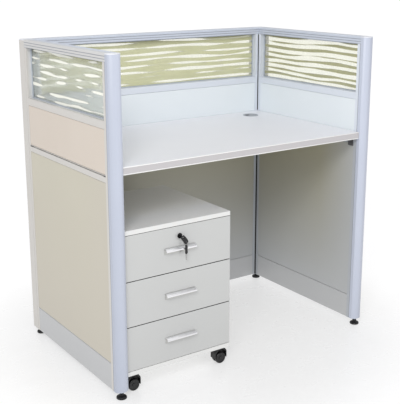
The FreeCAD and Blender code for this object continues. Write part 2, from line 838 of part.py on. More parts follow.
def drawer_box(label, low):
    """Open box: four walls on a bottom."""
    body = new_body(label)
    side = "(board_thickness + runner_space)"
    rear = "front_thickness + box_depth"
    pad(body, "XY", [box_loop(side, "pedestal_width - " + side, "front_thickness", rear)], "box_height", low)
    cut(body, "XY", [box_loop(
        side + " + box_wall", "pedestal_width - " + side + " - box_wall",
        "front_thickness + box_wall", rear + " - box_wall",
    )], "box_height - box_bottom + overrun", low + " + box_bottom")
    return body


def handle(label, middle):
    """Ledge pull: a plate on the front, a ledge that falls forwards in a curve, and a lip at its nose."""
    body = new_body(label)
    top = middle + " + handle_plate_height / 2"
    nose = top + " - handle_fall"
    pad(body, "YZ", [[
        ("0", middle + " - handle_plate_height / 2"),
        ("0", top, "handle_curve_radius"),
        ("-handle_reach", nose),
        ("-handle_reach", nose + " - handle_lip"),
        ("handle_wall - handle_reach", nose + " - handle_lip"),
        ("handle_wall - handle_reach", nose + " - handle_wall / 2"),
        ("-handle_reach / 2", top + " - handle_fall / 3 - handle_wall"),
        ("-handle_plate", top + " - handle_wall"),
        ("-handle_plate", middle + " - handle_plate_height / 2"),
    ]], "handle_length", "(pedestal_width - handle_length) / 2")
    return body


fixed_runners = []
for index, name in enumerate(("lower", "middle", "upper")):
    floor = "(" + BAY_LOW + " + " + BAY_STEP + " * " + str(index) + ")"
    low = floor + " + front_joint / 2"
    high = floor + " + " + BAY_STEP + " - front_joint / 2"
    front = rounded_slab(name + "_drawer_front", low, high, "front_thickness", "front_round")
    if name == "upper":
        cut(front, "XZ", [("circle", "pedestal_width / 2", LOCK_Z, "lock_hole_radius")],
            "front_thickness + 2 * overrun", "-overrun")
    box = drawer_box(name + "_drawer_box", low + " + box_rise")
    pull = handle(name + "_drawer_handle", floor + " + " + BAY_STEP + " / 2 - handle_drop")
    middle = low + " + box_rise + runner_rise"
    moving = [runner(name + "_drawer_rail_" + str(right), middle, right, True) for right in (0, 1)]
    fixed = [runner(name + "_cabinet_rail_" + str(right), middle, right, False) for right in (0, 1)]
    for piece in [front, box, pull] + moving + fixed:
        place(piece, PED_X, PED_Y, "0")
    nodes += [front, box, pull, group(name + "_drawer_runners", moving)]
    fixed_runners += fixed
nodes.append(group("cabinet_runners", fixed_runners))

# Lock, made along its own z axis, which points out of the drawer's front
LOCK_PLACE = (PED_X + " + pedestal_width / 2", PED_Y, LOCK_Z)
BORE = "(plug_radius + plug_clearance)"
barrel = new_body("lock_barrel")
turned(barrel, [
    (BORE, "-lock_length"),
    ("lock_hole_radius - lock_fit", "-lock_length"),
    ("lock_hole_radius - lock_fit", "0"),
    ("lock_flange_radius", "0"),
    ("lock_flange_radius", "lock_flange_thickness"),
    (BORE, "lock_flange_thickness"),
])

# Plug with the crank behind it and the key's stem and hinge pin in front. The key lies along -y.
plug = new_body("lock_plug")
PLUG_FACE = "(lock_flange_thickness - plug_face_drop)"
turned(plug, [
    ("0", "-lock_length - plug_face_drop - crank_thickness"),
    ("plug_radius", "-lock_length - plug_face_drop - crank_thickness"),
    ("plug_radius", PLUG_FACE),
    ("0", PLUG_FACE),
])
pad(plug, "XY", [box_loop("-crank_width / 2", "crank_width / 2", "0", "crank_length")],
    "crank_thickness", "-lock_length - plug_face_drop - crank_thickness")
pad(plug, "XY", [box_loop("-key_stem_width / 2", "key_stem_width / 2",
                          "-key_stem_thickness / 2", "key_stem_thickness / 2")],
    "key_reach", "0")
pad(plug, "YZ", [("circle", "0", "key_reach", "key_pin_radius")], "key_pin_length", "-key_pin_length / 2")

# Folding bow: two knuckles on the pin, a neck on each side of the stem and a plate with a ring hole
bow = new_body("key_bow")
gap = "(key_stem_width / 2 + knuckle_gap)"
back = "(key_reach - bow_thickness / 2)"
BOW_SPOT = "(bow_length - bow_hole_margin)"
half_bow = "(bow_width / 2)"
pad(bow, "XY", [
    [
        (gap, "0"),
        (gap, "-bow_neck_drop"),
        ("-" + gap, "-bow_neck_drop"),
        ("-" + gap, "0"),
        ("-key_pin_length / 2", "0"),
        ("-" + half_bow, "-bow_neck_drop"),
        ("-" + half_bow, "bow_width / 2 - bow_length", half_bow),
        ("0", "-bow_length", half_bow),
        (half_bow, "bow_width / 2 - bow_length"),
        (half_bow, "-bow_neck_drop"),
        ("key_pin_length / 2", "0"),
    ],
    ("circle", "0", "-" + BOW_SPOT, "bow_hole_radius"),
], "bow_thickness", back)
for start in (gap, "-key_pin_length / 2"):
    pad(bow, "YZ", [("circle", "0", "key_reach", "knuckle_radius")], "key_pin_length / 2 - " + gap, start)
cut(bow, "YZ", [("circle", "0", "key_reach", "key_pin_radius + key_pin_clearance")],
    "key_pin_length + 2 * overrun", "-key_pin_length / 2 - overrun")

# Spare key on its ring, hanging straight down from the bow's hole
wire = new_body("key_ring")
turned(wire, box_loop("ring_radius - ring_wire / 2", "ring_radius + ring_wire / 2",
                      "-ring_wire / 2", "ring_wire / 2"))
HOLE_X = "(" + LOCK_PLACE[0] + " + " + BOW_SPOT + " * sin(key_angle))"
HOLE_Z = "(" + LOCK_Z + " - " + BOW_SPOT + " * cos(key_angle))"
place(wire, HOLE_X, PED_Y + " - key_reach", HOLE_Z + " - ring_radius",
      FreeCAD.Rotation(FreeCAD.Vector(0, 1, 0), 90))
spare = new_body("spare_key_blade")
spare_face = "(key_reach - spare_thickness / 2)"
half_spare = "(spare_width / 2)"
shoulder = "(spare_hole_margin - spare_head_length)"
pad(spare, "XY", [
    [
        ("-" + half_spare, shoulder),
        (half_spare, shoulder),
        (half_spare, "spare_hole_margin - spare_width / 2", half_spare),
        ("0", "spare_hole_margin", half_spare),
        ("-" + half_spare, "spare_hole_margin - spare_width / 2"),
    ],
    ("circle", "0", "0", "spare_hole_margin / 2"),
], "spare_thickness", spare_face)
pad(spare, "XY", [[
    ("-blade_width / 2", shoulder),
    ("-blade_width / 2", shoulder + " - blade_length + blade_width / 2"),
    ("0", shoulder + " - blade_length"),
    ("blade_width / 2", shoulder + " - blade_length + blade_width / 2"),
    ("blade_width / 2 - blade_notch", shoulder + " - blade_length * 2 / 3"),
    ("blade_width / 2", shoulder + " - blade_length / 2"),
    ("blade_width / 2 - blade_notch", shoulder + " - blade_length / 3"),
    ("blade_width / 2", shoulder + " - blade_length / 6"),
    ("blade_width / 2", shoulder),
]], "blade_thickness", "key_reach - blade_thickness / 2")
place(barrel, *LOCK_PLACE, FACE_FRONT)
for piece in (plug, bow):
    place(piece, *LOCK_PLACE, FACE_FRONT.multiply(turn_z(SIZES["key_angle"])))
place(spare, HOLE_X, PED_Y, HOLE_Z + " - 2 * ring_radius", FACE_FRONT)
nodes += [barrel, plug, bow, group("spare_key", [wire, spare])]


# Casters: a hood on a swivel stem, and twin wheels on one axle. The stem is the z axis.
HALF_TRACK = "(web_thickness / 2 + wheel_gap + wheel_width)"
WELL = "(wheel_radius + hood_clearance)"
SHELL = "(wheel_radius + hood_clearance + hood_wall)"
HOOD_TOP = "(caster_height - hood_drop)"
BOSS_LOW = "(2 * wheel_radius + hood_clearance + boss_gap)"


def arch(half, inset, low, bend=()):
    """Upright sides and a flat top, in the plane of the wheel, with round corners or cut ones."""
    inner = "(" + half + " + " + inset + " - hood_round)"
    return [
        (half + " - caster_trail", low),
        (half + " - caster_trail", HOOD_TOP + " - hood_round", *bend),
        (inner + " - caster_trail", HOOD_TOP + " - " + inset),
        ("-" + inner + " - caster_trail", HOOD_TOP + " - " + inset, *bend),
        ("-" + half + " - caster_trail", HOOD_TOP + " - hood_round"),
        ("-" + half + " - caster_trail", low),
    ]


def caster_hood(label):
    """Thin arched hood over both wheels on a central web, with the swivel boss and its stem on top."""
    body = new_body(label)
    web_end = [
        ("-web_foot - caster_trail", "wheel_radius - web_foot"),
        ("web_foot - caster_trail", "wheel_radius - web_foot"),
    ]
    outline = arch(SHELL, "0", "wheel_radius", ["hood_round"]) + web_end
    pad(body, "XZ", [outline], "2 * " + HALF_TRACK, "-" + HALF_TRACK)
    well = arch(WELL, "hood_wall", "-overrun")
    deep = HALF_TRACK + " - web_thickness / 2 + overrun"
    cut(body, "XZ", [well], deep, "web_thickness / 2")
    cut(body, "XZ", [well], deep, "-web_thickness / 2", upward=False)
    cut(body, "XZ", [("circle", "-caster_trail", "wheel_radius", "axle_radius + axle_clearance")],
        "web_thickness + 2 * overrun", "-web_thickness / 2 - overrun")
    pad(body, "XY", [box_loop("-boss_width / 2", "boss_width / 2", "-boss_width / 2", "boss_width / 2")],
        "caster_height - swivel_gap - " + BOSS_LOW, BOSS_LOW)
    pad(body, "XY", [("circle", "0", "0", "swivel_stem_radius")],
        "swivel_gap + swivel_stem_length", "caster_height - swivel_gap")
    return body


def twin_wheels(label):
    """Two wheels and their axle, turned in one."""
    body = new_body(label)
    inner = "(web_thickness / 2 + wheel_gap)"
    upper = [
        ("axle_radius", inner),
        ("wheel_radius", inner),
        ("wheel_radius", HALF_TRACK),
        ("0", HALF_TRACK),
    ]
    lower = [(radius, "-(" + height + ")") for radius, height in reversed(upper)]
    turned(body, lower + upper)
    return body


for corner, (x, y, yaw) in STEMS.items():
    hood = caster_hood(corner + "_caster_hood")
    place(hood, PED_X + " + " + x, PED_Y + " + " + y, "0", turn_z(yaw))
    wheels = twin_wheels(corner + "_caster_wheels")
    trail = " - caster_trail" if yaw == 0 else " + caster_trail"
    place(wheels, PED_X + " + " + x + trail, PED_Y + " + " + y, "wheel_radius", FACE_FRONT)
    nodes += [hood, wheels]

# Check every object and write one file for each node
doc.recompute()
for item in doc.Objects:
    if "Invalid" in item.State or "Error" in item.State:
        raise ValueError("Failed to compute: " + item.Label + " " + str(item.State))
os.makedirs("parts", exist_ok=True)
for node in nodes:
    shape = node.Shape
    if shape.isNull() or not shape.isValid():
        raise ValueError("Bad shape: " + node.Label)
    shape.exportStep("parts/" + node.Label + ".step")
print("nodes written:", len(nodes))
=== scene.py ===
# %% [markdown]
# # Cubicle workstation
# Three glazed partition panels stand round a desk, and a pedestal of three drawers stands under
# it. The solids come from the frame in their true sizes. This scene gives them their finishes,
# softens their edges and adds the small pieces that show from close by: seals, gaskets, screws,
# tyres, feet and key parts.

# %% The frame
import json
import math

import bmesh
import bpy
from mathutils import Matrix, Vector


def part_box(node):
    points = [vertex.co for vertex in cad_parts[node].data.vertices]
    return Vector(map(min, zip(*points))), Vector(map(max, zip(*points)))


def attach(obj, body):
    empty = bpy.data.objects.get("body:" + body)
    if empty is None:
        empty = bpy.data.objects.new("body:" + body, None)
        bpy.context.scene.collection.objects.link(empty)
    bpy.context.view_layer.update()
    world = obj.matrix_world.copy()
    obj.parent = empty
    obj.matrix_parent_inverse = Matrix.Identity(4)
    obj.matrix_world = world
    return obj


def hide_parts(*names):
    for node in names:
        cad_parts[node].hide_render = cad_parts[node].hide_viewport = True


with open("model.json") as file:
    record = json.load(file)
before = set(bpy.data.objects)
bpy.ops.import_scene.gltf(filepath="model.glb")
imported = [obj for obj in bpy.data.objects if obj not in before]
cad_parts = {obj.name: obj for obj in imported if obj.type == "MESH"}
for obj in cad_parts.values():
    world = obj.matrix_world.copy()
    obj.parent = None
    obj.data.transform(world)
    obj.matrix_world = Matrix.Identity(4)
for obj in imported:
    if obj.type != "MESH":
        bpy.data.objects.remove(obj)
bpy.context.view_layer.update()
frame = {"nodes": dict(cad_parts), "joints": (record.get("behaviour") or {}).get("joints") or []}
nodes = frame["nodes"]

# %% [markdown]
# Colours are written as the sRGB hex values that an eye would match on a swatch. The renderer
# works in linear light, so one function turns each of them.

# %% Colour
MM = 0.001


def colour(code):
    """An sRGB hex value as linear red, green, blue and alpha."""
    parts = [int(code[i:i + 2], 16) / 255 for i in (0, 2, 4)]
    line = [p / 12.92 if p <= 0.04045 else ((p + 0.055) / 1.055) ** 2.4 for p in parts]
    return (*line, 1.0)


print("mid grey:", colour("808080"))

# %% [markdown]
# A finish is a small graph of nodes. One function adds any node with its settings, and each input
# takes a value, a hex colour or the output that feeds it. Patterns read the object's own
# coordinates, which are in metres, so a pattern scale is one over a real size and the pattern
# travels with its piece.

# %% Nodes
def add(material, kind, inputs=(), **settings):
    """Add one node, set it and feed it; inputs pairs each socket with what goes into it."""
    node = material.node_tree.nodes.new(kind)
    for name, value in settings.items():
        setattr(node, name, value)
    for socket, value in inputs:
        if isinstance(value, bpy.types.NodeSocket):
            material.node_tree.links.new(value, node.inputs[socket])
        else:
            node.inputs[socket].default_value = colour(value) if isinstance(value, str) else value
    return node.outputs


def begin(name):
    """A new material with an empty graph, and the object's own coordinates."""
    material = bpy.data.materials.new(name)
    material.use_nodes = True
    material.node_tree.nodes.clear()
    return material, add(material, "ShaderNodeTexCoord")["Object"]


print("one function adds every node")

# %% [markdown]
# Three things are done in every finish. Soft noise with spots of a real size makes clouds, grain
# and dust. Colours are laid over each other, each through a mask, as a painter does with stencils.
# At the end the surface shader takes the colour, and one pattern that varies its roughness and
# may lift it by a real height.

# %% Patterns, layers and surfaces
FAINT, STRONG = 0.3, 0.7


def speckle(material, place, sizes, detail=2.0):
    """Soft random light and dark, mostly from FAINT to STRONG, with spots of sizes X, Y and Z."""
    stretched = add(material, "ShaderNodeMapping", [
        ("Vector", place), ("Scale", [1 / size for size in sizes]),
    ])
    noise = add(material, "ShaderNodeTexNoise", [
        ("Vector", stretched[0]), ("Scale", 1), ("Detail", detail),
    ])
    return noise[0]


def layered(material, base, *layers):
    """A base colour with others over it, each a mask and the colour that shows where it is 1."""
    for mask, over in layers:
        mixed = add(material, "ShaderNodeMix", [(0, mask), (6, base), (7, over)], data_type="RGBA")
        base = mixed[2]
    return base


def finish(material, base, pattern, rough, height=0, **sockets):
    """The surface. Rough is one number, or two between which the pattern spreads it."""
    inputs = [("Base Color", base)]
    if isinstance(rough, tuple):
        rough = add(material, "ShaderNodeMapRange", [
            (0, pattern), (1, FAINT), (2, STRONG), (3, rough[0]), (4, rough[1]),
        ])[0]
    if height:
        bump = add(material, "ShaderNodeBump", [
            ("Height", pattern), ("Distance", height), ("Strength", 1),
        ])
        inputs.append(("Normal", bump[0]))
    inputs.append(("Roughness", rough))
    inputs += [(name.replace("_", " "), value) for name, value in sockets.items()]
    shader = add(material, "ShaderNodeBsdfPrincipled", inputs)
    add(material, "ShaderNodeOutputMaterial", [("Surface", shader[0])])
    print("finish:", material.name, len(material.node_tree.nodes), "nodes")
    return material


print("spots run from", FAINT, "to", STRONG)

# %% [markdown]
# ** Coated aluminium.** The rails, posts and bars are aluminium extrusions with a satin, slightly
# lilac silver coat. Powder melts into it with pimples of about 1 mm. The tone goes over from the
# inner to the outer face through a panel's thickness: the outer faces are a warmer silver, but the
# end posts' outer flanks are painted darker as shade, and the inner faces under the desk are
# painted duller as the desk's shade. Where two extrusions meet, or where a rail has a groove, a
# thin dark line of painted shade is drawn, which is where one coordinate comes close to a place.

# %% Coated aluminium
SIDE_PANEL = (503 * MM, 531 * MM)
BACK_PANEL = (296 * MM, 323 * MM)
DESK_SHADE = 722 * MM
# The seam tone is painted shade: a thin dark line drawn in joints and grooves.
SEAM_SHADE = "989ba5"


def coated(name, inner, outer, seams=(), seam_axis=2, low=None):
    """Pairs of tones for inner faces, outer faces and inner ones under the desk in painted shade,
    and seams drawn as painted shade.
    """
    coat, place = begin(name)
    axes = add(coat, "ShaderNodeSeparateXYZ", [(0, place)])
    aside = add(coat, "ShaderNodeMath", [(0, axes[0])], operation="ABSOLUTE")
    flank = add(coat, "ShaderNodeMapRange", [(0, aside[0]), (1, SIDE_PANEL[0]), (2, SIDE_PANEL[1])])
    behind = add(coat, "ShaderNodeMapRange", [(0, axes[1]), (1, BACK_PANEL[0]), (2, BACK_PANEL[1])])
    outside = add(coat, "ShaderNodeMath", [(0, flank[0]), (1, behind[0])], operation="MAXIMUM")
    above = add(coat, "ShaderNodeMath", [(0, axes[2]), (1, DESK_SHADE)], operation="GREATER_THAN")
    cloud = speckle(coat, place, [140 * MM] * 3)
    under, within, without = (
        layered(coat, first, (cloud, second)) for first, second in (low or inner, inner, outer)
    )
    tone = layered(coat, under, (above[0], within), (outside[0], without))
    for spot, reach in seams:
        near = add(coat, "ShaderNodeMath", [
            (0, axes[seam_axis]), (1, spot), (2, reach),
        ], operation="COMPARE")
        tone = layered(coat, tone, (near[0], SEAM_SHADE))
    pimples = speckle(coat, place, [1.1 * MM] * 3)
    return finish(coat, tone, pimples, (0.36, 0.46), 0.02 * MM, IOR=1.5)


LILAC = ("c5cbda", "cbd1e0")
RAIL_SEAMS = [(1072.7 * MM, 0.9 * MM), (1081.3 * MM, 0.9 * MM), (1064.6 * MM, 0.7 * MM)]
POST_SEAM = [(-298.8 * MM, 1.1 * MM)]
COATS = {
    # The end posts' outer tones are darker than their inner ones: painted shade on their outer
    # flanks.
    "end_post": coated("silver_coated_post", LILAC, ("b4bac8", "bac0ce")),
    "corner_post": coated("silver_coated_corner_post", LILAC, ("cecbc6", "d4d1cc")),
    "frame": coated(
        "silver_coated_bars", ("dce2eb", "e2e7ef"), ("cecbc6", "d4d1cc"), POST_SEAM, 1,
        # The low tones are painted shade on the inner faces under the desk.
        low=("b4b8bd", "bcc0c5"),
    ),
    "top_rail": coated(
        "silver_coated_top_rail", ("c8cfdb", "cfd5e0"), ("cfcfce", "d5d5d3"), RAIL_SEAMS,
    ),
    "post_caps": coated("silver_coated_caps", ("e4e7ed", "eaecf0"), ("e4e7ed", "eaecf0")),
}

# %% [markdown]
# ** Anodised aluminium.** The handles are drawn bars, brushed along their length and then anodised
# silver. The brush leaves lines that run with the bar; they are drawn 2.5 mm apart here, so that
# they show. The flange that lies on the drawer front is painted darker than the ledge that fingers
# pull, as a painted shadow cast by the ledge.

# %% Anodised aluminium
FLANGE_FACE = -302.2 * MM
metal, place = begin("silver_anodised_handle")
lines = speckle(metal, place, (400 * MM, 2.5 * MM, 2.5 * MM), 3.0)
forward = add(metal, "ShaderNodeSeparateXYZ", [(0, place)])[1]
# The flange's darker tone is a painted shadow under the ledge.
flange_shadow = add(metal, "ShaderNodeMath", [(0, forward), (1, FLANGE_FACE)], operation="GREATER_THAN")
ledge = layered(metal, "eeeef0", (speckle(metal, place, [140 * MM] * 3), "f6f6f7"))
HANDLE_SILVER = finish(
    metal, layered(metal, ledge, (flange_shadow[0], "bfbfbc")), lines, (0.3, 0.42), 0.02 * MM, Metallic=1,
)

# %% [markdown]
# **Reeded glass.** The panes are cast glass that was rolled with long level ridges, 22 mm from
# crest to crest, that wander a little. Thick parts look olive, because light crosses more glass
# there, and each ridge acts as a lens that gathers the bright room into a cream streak. Refraction
# alone would need that room round the desk, so the streaks are drawn: a sine across the pane, bent
# by slow noise, gives the ridges, and another noise, long along the ridge and as tall as one, sets
# how wide the streak is there, so that it swells and tapers to nothing. A streak begins where the
# two together rise above its shore, which is too high for any in an empty pane and sinks as the
# pane fills. The panes differ in how much of them the streaks fill and in how much light really
# passes: the left one is clear between its streaks, and the others are clearest in them.

# %% Reeded glass
RIDGE = 22 * MM
RAIL_SHADE = (1035 * MM, 1070 * MM)
EMPTY, SPAN = 1.3, 2.2


def reeded_glass(name, field, fill, soft, wander, stretch, swells, clear):
    """A pane with a field of two tones and streaks that fill a share of it, with soft edges."""
    glass, place = begin(name)
    axes = add(glass, "ShaderNodeSeparateXYZ", [(0, place)])
    run = add(glass, "ShaderNodeMath", [(0, axes[0]), (1, axes[1])], operation="ADD")
    flat = add(glass, "ShaderNodeCombineXYZ", [(0, run[0]), (1, axes[2])])[0]
    drift = speckle(glass, flat, (260 * MM, 70 * MM, 1), 1.0)
    turns = add(glass, "ShaderNodeMath", [
        (0, axes[2]), (1, 2 * math.pi / RIDGE),
    ], operation="MULTIPLY")
    phase = add(glass, "ShaderNodeMath", [
        (0, drift), (1, wander), (2, turns[0]),
    ], operation="MULTIPLY_ADD")
    ridge = add(glass, "ShaderNodeMath", [(0, phase[0])], operation="SINE")[0]
    swell = add(glass, "ShaderNodeMapRange", [
        (0, speckle(glass, flat, (stretch, 0.9 * RIDGE, 1), 0.0)), (1, FAINT), (2, STRONG),
        (3, -swells), (4, swells),
    ])
    crest = add(glass, "ShaderNodeMath", [(0, ridge), (1, swell[0])], operation="ADD")
    shore = EMPTY - SPAN * fill
    streak = add(glass, "ShaderNodeMapRange", [
        (0, crest[0]), (1, shore - 0.3 * soft), (2, shore + 0.7 * soft),
    ], interpolation_type="SMOOTHSTEP")[0]
    shade = add(glass, "ShaderNodeMapRange", [(0, axes[2]), (1, RAIL_SHADE[0]), (2, RAIL_SHADE[1])])
    cloud = speckle(glass, flat, (150 * MM, 60 * MM, 1))
    tone = layered(glass, field[0], (cloud, field[1]), (shade[0], "a9a77c"), (streak, "fefef2"))
    passing = add(glass, "ShaderNodeMapRange", [(0, streak), (3, clear[0]), (4, clear[1])])
    return finish(glass, tone, ridge, 0.1, 0.3 * MM, IOR=1.52, Transmission_Weight=passing[0])


# The field tones differ from pane to pane as painted light: one glass, pale on the left and darker
# olive behind and on the right.
GLASS = {
    "left": reeded_glass(
        "reeded_glass_left", ("e2e6dc", "eaede6"), fill=0.2, soft=0.7, wander=4.0,
        stretch=105 * MM, swells=1.1, clear=(0.88, 0.05),
    ),
    "back": reeded_glass(
        "reeded_glass_back", ("d8d9ae", "e4e3be"), fill=0.38, soft=0.6, wander=3.5,
        stretch=200 * MM, swells=1.0, clear=(0.25, 0.85),
    ),
    "right": reeded_glass(
        "reeded_glass_right", ("b4b38c", "c4c29e"), fill=0.8, soft=0.4, wander=6.0,
        stretch=210 * MM, swells=0.7, clear=(0.3, 0.9),
    ),
}

# %% [markdown]
# ** Laminated tiles.** The tiles are thin boards under a decorative laminate, hot pressed against a
# plate with a fine grain, a few tenths of a millimetre wide and hundredths high; it is drawn
# 0.9 mm wide, so that it shows. The tone drifts a little over a hand's width. The outer tiles are
# beige, painted lighter and rosier above the slotted rail than below it as painted light. The inner
# ones are white above the desk; below it they are painted darker olive beige under the desktop as
# its shade, fading to grey near the floor and towards the front. The base covers are enamelled
# steel, which dries with a faint orange peel.

# %% Tiles and covers
DESK_LINE = 720 * MM
CLIMB = (120 * MM, 700 * MM)
INWARDS = (-280 * MM, -110 * MM)


def tile_skin(name, foot, low, high, rough, grain=0.9 * MM, relief=0.01 * MM):
    """A smooth skin with its tones at the floor, in painted shade just under desk height, and above
    it.
    """
    skin, place = begin(name)
    axes = add(skin, "ShaderNodeSeparateXYZ", [(0, place)])
    above = add(skin, "ShaderNodeMath", [(0, axes[2]), (1, DESK_LINE)], operation="GREATER_THAN")
    climb = add(skin, "ShaderNodeMapRange", [(0, axes[2]), (1, CLIMB[0]), (2, CLIMB[1])])
    inwards = add(skin, "ShaderNodeMapRange", [
        (0, axes[1]), (1, INWARDS[0]), (2, INWARDS[1]), (3, 0.15),
    ])
    shade = add(skin, "ShaderNodeMath", [(0, climb[0]), (1, inwards[0])], operation="MULTIPLY")
    cloud = speckle(skin, place, [160 * MM] * 3)
    below, over = (layered(skin, pale, (cloud, deep)) for pale, deep in (low, high))
    tone = layered(skin, foot, (shade[0], below), (above[0], over))
    pores = speckle(skin, place, [grain] * 3)
    return finish(skin, tone, pores, (rough, rough + 0.08), relief, IOR=1.5)


# The outer tiles' upper tones are lighter and rosier than their lower ones: painted light.
OUTER_TILE = tile_skin(
    "beige_laminate", "c9c3b5", ("cdc8b7", "c8c3b2"), ("dacfc3", "d5cabd"), 0.42,
)
# The low tones of the inner tiles are painted shade under the desk.
INNER_TILE = tile_skin(
    "white_and_beige_laminate", "bcbebf", ("afaa90", "aaa58b"), ("eef4f7", "e9eff3"), 0.36,
)
COVER_ENAMEL = tile_skin(
    "grey_enamel", "c2c3c4", ("cac9c6", "c4c3c0"), ("cac9c6", "c4c3c0"), 0.34, 5 * MM, 0.03 * MM,
)

# %% [markdown]
# ** Melamine.** The desktop is chipboard under a white melamine film, pressed against a plate with
# a fine pearl grain. It shines a little, and far more at a flat angle. The band on its front edge
# is grey plastic, milled flush, and a nearly white painted highlight runs along its rims.

# %% Melamine
BAND_FACE = -309 * MM
BAND_MIDDLE, BAND_HALF = 738 * MM, 9.5 * MM


def melamine(name, deep, pale, band, rim, grain, rough):
    """A board of two tones, with a band on its front edge whose rims carry a paler painted
    highlight.
    """
    board, place = begin(name)
    axes = add(board, "ShaderNodeSeparateXYZ", [(0, place)])
    face = add(board, "ShaderNodeMath", [(0, axes[1]), (1, BAND_FACE)], operation="GREATER_THAN")
    flat = add(board, "ShaderNodeMath", [
        (0, axes[2]), (1, BAND_MIDDLE), (2, BAND_HALF),
    ], operation="COMPARE")
    film = layered(board, deep, (speckle(board, place, [220 * MM] * 3), pale))
    tone = layered(board, rim, (flat[0], band), (face[0], film))
    pearl = speckle(board, place, [grain] * 3, 3.0)
    return finish(board, tone, pearl, (rough, rough + 0.12), 0.005 * MM, IOR=1.5)


# The rim tone of the desktop's band is a painted highlight.
DESK_MELAMINE = melamine("white_melamine", "e4e5ea", "ebecf0", "c6c3c4", "f4f4f2", 1.5 * MM, 0.3)
BOX_MELAMINE = melamine("drawer_melamine", "dcdcda", "e4e4e2", "dcdcda", "dcdcda", 3 * MM, 0.4)

# %% [markdown]
# ** Polished lacquer.** The pedestal's boards are sprayed with pale grey lacquer and polished. The
# top and the base are the same lacquer, painted nearly white as painted light. The level edges of
# the drawer fronts are painted dark grey as the shade in the gaps between them, so the gaps read as
# lines. The colour coat is slightly rough and a clear coat lies on it, so the top mirrors what
# stands over it at a flat angle, while the fronts only gleam.

# %% Polished lacquer
LEVEL_FACE = 0.8


def lacquered(name, pale, deep, edges):
    """Lacquer of two tones, with another for the faces that look up or down, which on the drawer
    fronts is painted shade.
    """
    lacquer, place = begin(name)
    normal = add(lacquer, "ShaderNodeTexCoord")["Normal"]
    facing = add(lacquer, "ShaderNodeSeparateXYZ", [(0, normal)])
    upright = add(lacquer, "ShaderNodeMath", [(0, facing[2])], operation="ABSOLUTE")
    level = add(lacquer, "ShaderNodeMath", [
        (0, upright[0]), (1, LEVEL_FACE),
    ], operation="GREATER_THAN")
    cloud = speckle(lacquer, place, [200 * MM] * 3)
    tone = layered(lacquer, pale, (cloud, deep), (level[0], edges))
    peel = speckle(lacquer, place, [9 * MM] * 3, 1.0)
    return finish(
        lacquer, tone, peel, (0.2, 0.26), 0.001 * MM, IOR=1.5, Coat_Weight=1, Coat_Roughness=0.04,
    )


LACQUER = lacquered("polished_grey_lacquer", "cbccca", "c4c5c4", "c4c5c4")
# The dark tone on the drawer fronts' level edges is painted shade in the gaps.
FRONT_LACQUER = lacquered("polished_front_lacquer", "cbccca", "c4c5c4", "4c4e4d")
# The top and base lacquer is the grey lacquer painted lighter: painted light.
TOP_LACQUER_PAINTED_LIGHT = lacquered("polished_lacquer_painted_light", "ebebe9", "e4e4e2", "ebebe9")

# %% [markdown]
# **Moulded plastics.** The feet, hoods and key parts are black moulded nylon and ABS. A mould that
# was eroded by sparks leaves a leathery grain of about 1 mm. The tyres are harder and smoother,
# and rolling greys them. The grommet is grey ABS. Its cap is darker than its ring, and nearly
# black below its face, as its slot is in shade. The corner gaskets are matt black rubber.

# %% Moulded plastics
CAP_FACE = 751.4 * MM


def moulded(name, deep, pale, grain, rough, height=0.04 * MM, face=None):
    """A plastic of two tones, nearly black below the height of a face where one is given."""
    plastic, place = begin(name)
    tone = layered(plastic, deep, (speckle(plastic, place, [12 * MM] * 3), pale))
    if face:
        axes = add(plastic, "ShaderNodeSeparateXYZ", [(0, place)])
        sunk = add(plastic, "ShaderNodeMath", [(0, axes[2]), (1, face)], operation="LESS_THAN")
        tone = layered(plastic, tone, (sunk[0], "0b0b0b"))
    leather = speckle(plastic, place, [grain] * 3)
    return finish(plastic, tone, leather, (rough, rough + 0.15), height, IOR=1.5)


BLACK_NYLON = moulded("black_nylon", "0f0f10", "171718", 1.2 * MM, 0.4)
TYRE_PLASTIC = moulded("hard_black_tyre", "101011", "1c1c1d", 2 * MM, 0.3)
BLACK_ABS = moulded("black_abs", "0c0c0d", "161617", 1 * MM, 0.25, 0.01 * MM)
GREY_ABS = moulded("grey_abs", "a2a5ac", "b0b3b9", 1 * MM, 0.38)
CAP_ABS = moulded("grey_cap_abs", "8f9297", "9b9ea2", 1 * MM, 0.38, face=CAP_FACE)
RUBBER = moulded("black_rubber", "121211", "1a1a19", 0.8 * MM, 0.6)
SEAL_PVC = moulded("grey_seal_pvc", "a3abb4", "b9bfc6", 1.5 * MM, 0.35)

# %% [markdown]
# **Steels.** The runners are zinc plated, and the crystals of the zinc show as a faint mosaic of
# about 6 mm. The desk brackets have a dark grey powder coat, which melts into fine pimples. The
# key blades and the ring are nickel plated: smooth, grey and mirror-like.

# %% Steels
zinc, place = begin("zinc_plated_steel")
crystals = add(zinc, "ShaderNodeTexVoronoi", [("Vector", place), ("Scale", 1 / (6 * MM))])["Color"]
ZINC = finish(
    zinc, layered(zinc, "c4c7cb", (crystals, "b3b7bc")), crystals, (0.3, 0.42), Metallic=1,
)

powder, place = begin("dark_powder_coat")
pimples = speckle(powder, place, [1.2 * MM] * 3, 1.0)
tone = layered(powder, "5e5e60", (speckle(powder, place, [40 * MM] * 3), "545456"))
POWDER = finish(powder, tone, pimples, (0.45, 0.6), 0.08 * MM, IOR=1.5)

nickel, place = begin("nickel_plate")
wear = speckle(nickel, place, [3 * MM] * 3, 3.0)
NICKEL = finish(nickel, layered(nickel, "a3a3a2", (wear, "b8b8b6")), wear, (0.2, 0.34), Metallic=1)

# %% [markdown]
# The solids are dressed by the kind of piece they are. Real edges are never perfectly sharp: an
# extrusion has a 0.3 mm radius, an enamelled edge more. A bevel modifier rounds each edge, so that
# edges catch the light.

